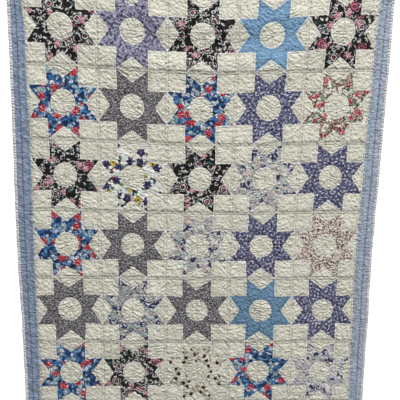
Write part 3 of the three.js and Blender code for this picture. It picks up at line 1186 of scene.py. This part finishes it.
def royal_floral(dye):
    """Royal blue ground with red flowers, white blossoms, pale leaves and green touches."""
    dye.ground(dye.patches(0.024, 0.5, 1.0, 0.12), (22, 44, 86), (52, 106, 158))
    misty = dye.mix(dye.patches(0.008, 0.5, 9.0), (218, 222, 222), (156, 168, 130))
    misty = dye.mix(dye.patches(0.009, 0.4, 10.0), misty, (86, 130, 178))
    dye.lay(dye.patches(0.036, 0.26, 8.0), misty)
    dye.strew(dye.leaf, (0.028, 2), (0.0120, 0.0046, 0.5), (116, 166, 206))
    bloom = dye.scatter(0.024, 4)
    face = dye.mix(dye.below(bloom["distance"], 0.0026, 0.001), (240, 240, 240), (60, 72, 110))
    dye.lay(dye.flower(bloom, 0.0092, 5, 0.24, 0.75) * dye.patches(0.045, 0.5, 12.0), face)
    face = dye.mix(dye.patches(0.010, 0.5, 5.0), (150, 30, 48), (206, 66, 78))
    face = dye.mix(dye.patches(0.008, 0.12, 6.0), face, (232, 180, 184))
    dye.strew(dye.flower, (0.058, 3), (0.0195, 6, 0.14, 0.78), face)
    return dye.sewn(crease=0.35)


def gray_speckle(dye):
    """Gray strewn with fine light and dark marks and a few rose specks."""
    dye.ground(dye.above(dye.clouds(0.0056, 1.0, seed=1.0), 0.5, 0.10), (66, 63, 67), (160, 157, 160))
    dye.strew(dye.flower, (0.012, 2), (0.0030, 4, 0.3), (198, 195, 197))
    dye.strew(dye.leaf, (0.012, 5), (0.0046, 0.0022), (44, 42, 46))
    dye.lay(dye.flower(dye.scatter(0.036, 7), 0.0034, 5, 0.3) * 0.8, (170, 132, 140))
    return dye.sewn(crease=0.3)


def purple_sprig(dye):
    """Dusty purple with little white sprigs among dark leaves."""
    dye.ground(dye.above(dye.clouds(0.010, 2.0, seed=1.0), 0.5, 0.3), (74, 74, 104), (116, 116, 148))
    dye.strew(dye.leaf, (0.018, 4), (0.0072, 0.0032), (50, 49, 72))
    sprig = dye.scatter(0.0168, 2, 0.55)
    face = dye.mix(dye.below(sprig["distance"], 0.0012, 0.0006), (214, 214, 230), (110, 104, 146))
    dye.lay(dye.leaf(sprig, 0.0064, 0.0028), face)
    return dye.sewn(crease=0.35)


def white_rose(dye):
    """White ground thick with mottled red roses, stippled tan shade, dark specks and mint leaves."""
    stipple = dye.mix(dye.patches(0.0085, 0.45, 9.0), (208, 186, 168), (92, 62, 54))
    dye.ground(dye.patches(0.036, 0.55, 1.0), (238, 236, 226), stipple)
    dye.strew(dye.leaf, (0.028, 2), (0.0130, 0.0058, 0.5), (122, 158, 136))
    dye.strew(dye.leaf, (0.024, 6), (0.0090, 0.0036, 0.4), (66, 56, 50))
    face = dye.mix(dye.patches(0.0085, 0.45, 4.0), (158, 34, 54), (218, 104, 116))
    face = dye.mix(dye.patches(0.0070, 0.14, 7.0), face, (238, 214, 210))
    dye.strew(dye.flower, (0.037, 3), (0.0145, 5, 0.16, 0.62), face)
    dye.strew(dye.flower, (0.022, 5), (0.0033, 5, 0.1, 0.8), (44, 32, 32))
    return dye.sewn(crease=0.35)


def pansy(dye):
    """White ground with dark purple pansies, gold ones, red buds and green leaves."""
    dye.ground(dye.patches(0.03, 0.25, 1.0), (236, 236, 228), (208, 220, 210))
    dye.strew(dye.leaf, (0.034, 2), (0.0130, 0.0050, 0.6), (52, 92, 76))
    dye.strew(dye.flower, (0.054, 5), (0.0110, 4, 0.2, 0.5), (156, 36, 50))
    gold = dye.scatter(0.076, 6)
    face = dye.mix(dye.patches(0.009, 0.3, 4.0), (210, 188, 82), (160, 134, 54))
    face = dye.mix(dye.below(gold["distance"], 0.0046, 0.003), face, (84, 52, 30))
    dye.lay(dye.flower(gold, 0.0180, 5, 0.12, 0.7), face)
    face = dye.mix(dye.patches(0.010, 0.30, 7.0), (38, 27, 62), (112, 98, 152))
    dye.strew(dye.flower, (0.055, 3), (0.0220, 5, 0.18, 0.85), face)
    return dye.sewn(crease=0.35)


def pastel(dye, ground, navy_share, first, second, third):
    """Pale ground with soft patches in three colours, outlined leaves, and pale leaves on navy."""
    dye.ground(dye.patches(0.044, 0.50, 7.0, 0.06) * 0.8, ground, first)
    dye.lay(dye.patches(0.030, 0.28, 4.0, 0.06) * 0.8, second)
    dye.lay(dye.patches(0.030, 0.24, 6.0, 0.06) * 0.8, third)
    dye.lay(dye.lines(0.026, 0.016, 2.0) * 0.7, (96, 98, 112))
    outlined = dye.scatter(0.024, 8)
    dye.lay(dye.leaf(outlined, 0.0125, 0.0054, 0.7), (112, 112, 128))
    dye.lay(dye.leaf(outlined, 0.0095, 0.0032, 0.7), (232, 232, 226))
    face = dye.mix(dye.leaf(dye.scatter(0.0155, 9), 0.0088, 0.0036), (48, 49, 84), (208, 208, 222))
    dye.lay(dye.patches(0.040, navy_share, 11.0), face)
    return dye.sewn(crease=0.4)


def vermicelli(dye):
    """Blush cream covered in short dark rose-brown squiggles."""
    dye.ground(dye.patches(0.02, 0.5, 4.0), (232, 214, 205), (226, 219, 207))
    dye.lay(dye.lines(0.014, 0.030, 1.0) * dye.patches(0.012, 0.6, 3.0), (118, 84, 82))
    dye.strew(dye.leaf, (0.0125, 3, 0.8), (0.0062, 0.0027, 0.85), (82, 54, 54))
    return dye.sewn(crease=0.4)


def dotted_cream(dye):
    """Cream with scattered dark brown dots and faint rose and green touches."""
    dye.ground(dye.patches(0.04, 0.4, 1.0), (228, 225, 209), (208, 206, 186))
    dye.strew(dye.leaf, (0.026, 2), (0.0120, 0.0046, 0.5), (150, 146, 126))
    dye.strew(dye.flower, (0.024, 5), (0.0056, 4, 0.3, 0.4), (196, 146, 140))
    dot = dye.scatter(0.041, 3, 0.5)
    dye.lay(dye.flower(dot, 0.0130, 5, 0.2) * 0.4, (150, 108, 100))
    dye.lay(dye.flower(dot, 0.0086, 3, 0.05), (32, 24, 23))
    return dye.sewn(crease=0.4)


def chambray(dye):
    """Faded blue warp over white weft, gone lavender in some patches and greener in others."""
    dye.ground(dye.above(dye.clouds(0.16, 2.0, seed=1.0), 0.5, 0.3), (126, 148, 174), (140, 154, 186))
    # Painted light: the right side border, of tone 1, is painted paler, as lit from the right.
    dye.lay(dye.math("MAXIMUM", dye.value("tone"), 0.0) * 0.7, (172, 182, 194))
    worn = dye.clouds(0.022, 3.0, seed=2.0)
    dye.lay(dye.above(worn, 0.56, 0.2) * 0.6, (176, 188, 208))
    dye.lay(dye.below(worn, 0.38, 0.2) * 0.5, (112, 130, 150))
    slub = dye.clouds(0.005, 2.0, seed=4.0, stretch=(0.15, 1, 1))
    dye.lay((slub - 0.3) * 0.5, (196, 204, 216))
    return dye.sewn(wrinkle=1.3, crease=0.4)


def binding_cloth(dye):
    """Pale lilac-white cloth with gray-blue thread over each pinch, which also stands as painted shade
    in the pinch.
    """
    dye.ground(dye.clouds(0.03, 2.0, seed=1.0), (224, 223, 226), (240, 237, 238))
    # Gray-blue thread over each pinch, also painted shade in the pinch.
    dye.lay(dye.above(dye.value("bar"), 0.55, 0.4) * 0.85, (112, 120, 128))
    return dye.sewn()


def all_cloths():
    """Every cloth of the quilt by name."""
    plain = [muslin, chambray, binding_cloth]
    printed = [
        black_floral, lavender_mottle, royal_floral, gray_speckle, purple_sprig, white_rose, pansy,
        vermicelli, dotted_cream,
    ]
    cloths = {dyed.__name__: dyed(Dye(dyed.__name__)) for dyed in plain + printed}
    for name, *paints in BLUES:
        cloths[name] = plain_blue(Dye(name), *paints)
    for name, *paints in PASTELS:
        cloths[name] = pastel(Dye(name), *paints)
    return cloths


# The quilt

def sew(piece, node):
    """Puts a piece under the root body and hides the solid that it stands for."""
    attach(piece, "root")
    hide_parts(node)


BLOCK_PLAN, BLOCK_CELLS, BLOCK_KINDS, BLOCK_EIGHTHS = star_block()
cloths = all_cloths()

rows = [pieced_row(row, cloths) for row in range(BLOCK_ROWS)]
borders = {
    "border_top": end_border(-1, cloths),
    "border_left": side_border(-1, cloths),
    "border_right": side_border(1, cloths),
    "border_bottom": end_border(1, cloths),
}
bindings = {
    "binding_top": end_binding(-1, cloths),
    "binding_left": side_binding(-1, cloths),
    "binding_right": side_binding(1, cloths),
    "binding_bottom": end_binding(1, cloths),
}

for piece in rows:
    sew(piece, "pieced_panel")

for (node, border), (edge, binding) in zip(borders.items(), bindings.items()):
    sew(border, node)
    sew(binding, edge)
    at_end = node in ("border_top", "border_bottom")
    held_by = {"border_top": [], "border_bottom": [rows[-1]]}.get(node, [borders["border_top"]])
    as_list(held_by)


# Studio: a pale floor, a white wall behind the quilt, soft light and the camera


def faded(distance, full, none):
    """1 up to a full distance, falling evenly to 0 at another."""
    return np.clip((none - distance) / (none - full), 0, 1)


def studio_paper(name, us, vs, point, lit):
    """Paper over a grid: gray, and where its share of painted light is 1, painted white and glowing.
    point, and the function that gives that share, take u and v.
    """
    u, v = (levels.ravel() for levels in np.meshgrid(us, vs))
    points = np.stack([np.broadcast_to(part, u.shape) for part in point(u, v)], -1)
    dye = Dye(name)
    share = dye.value("lit")
    # Painted light: where the share is 1 the paper is white and glows.
    dye.links.new(dye.mix(share, PAPER_GRAY, PAPER_WHITE), dye.surface.inputs["Base Color"])
    dye.links.new(dye.mix(share, (0, 0, 0, 1), (1, 1, 1, 1)), dye.surface.inputs["Emission Color"])
    dye.surface.inputs["Emission Strength"].default_value = PAPER_GLOW
    cells = quad_cells(len(us) - 1, len(vs) - 1)
    mesh_piece(name, points, cells, [dye.material], values={("lit", "POINT"): lit(u, v)})


def studio_papers():
    """A level floor and an upright wall, painted white and glowing as painted light behind the quilt as
    far as the camera sees.
    """
    across = np.linspace(-PAPER_REACH, PAPER_REACH, 101)
    studio_paper(
        "studio_floor", across, np.linspace(-12, WALL_AT, 73),
        lambda u, v: (u, v, FLOOR_AT),
        lambda u, v: faded(-v, -1.0, 0.25) * faded(np.abs(u), 4.0, 5.0),
    )
    studio_paper(
        "studio_wall", across, np.linspace(0, 11, 56),
        lambda u, v: (u, WALL_AT, FLOOR_AT + v),
        lambda u, v: faded(np.abs(u), 4.0, 5.0) * faded(v, 4.4, 5.4),
    )


def studio_light():
    """One round lamp, turned to what it aims at, and even white light from all round."""
    light = bpy.data.lights.new("key_lamp", "AREA")
    light.shape = "DISK"
    light.size = LAMP_SIZE
    light.energy = LAMP_POWER
    lamp = placed("key_lamp", light)
    lamp.location = LAMP_AT
    lamp.rotation_euler = (Vector(LAMP_AIM) - Vector(LAMP_AT)).to_track_quat("-Z", "Y").to_euler()
    world = bpy.data.worlds.new("studio_world")
    world.use_nodes = True
    background = world.node_tree.nodes["Background"]
    background.inputs["Color"].default_value = (1.0, 1.0, 1.0, 1.0)
    background.inputs["Strength"].default_value = WORLD_LIGHT
    bpy.context.scene.world = world


studio_papers()
studio_light()
bpy.context.scene.view_settings.view_transform = "Standard"

lens = bpy.data.cameras.new("camera")
lens.lens = CAMERA_LENS
lens.sensor_width = 36.0
camera = placed("camera", lens)
camera.location = CAMERA_AT
camera.rotation_euler = [math.radians(angle) for angle in CAMERA_TURN]
bpy.context.scene.camera = camera
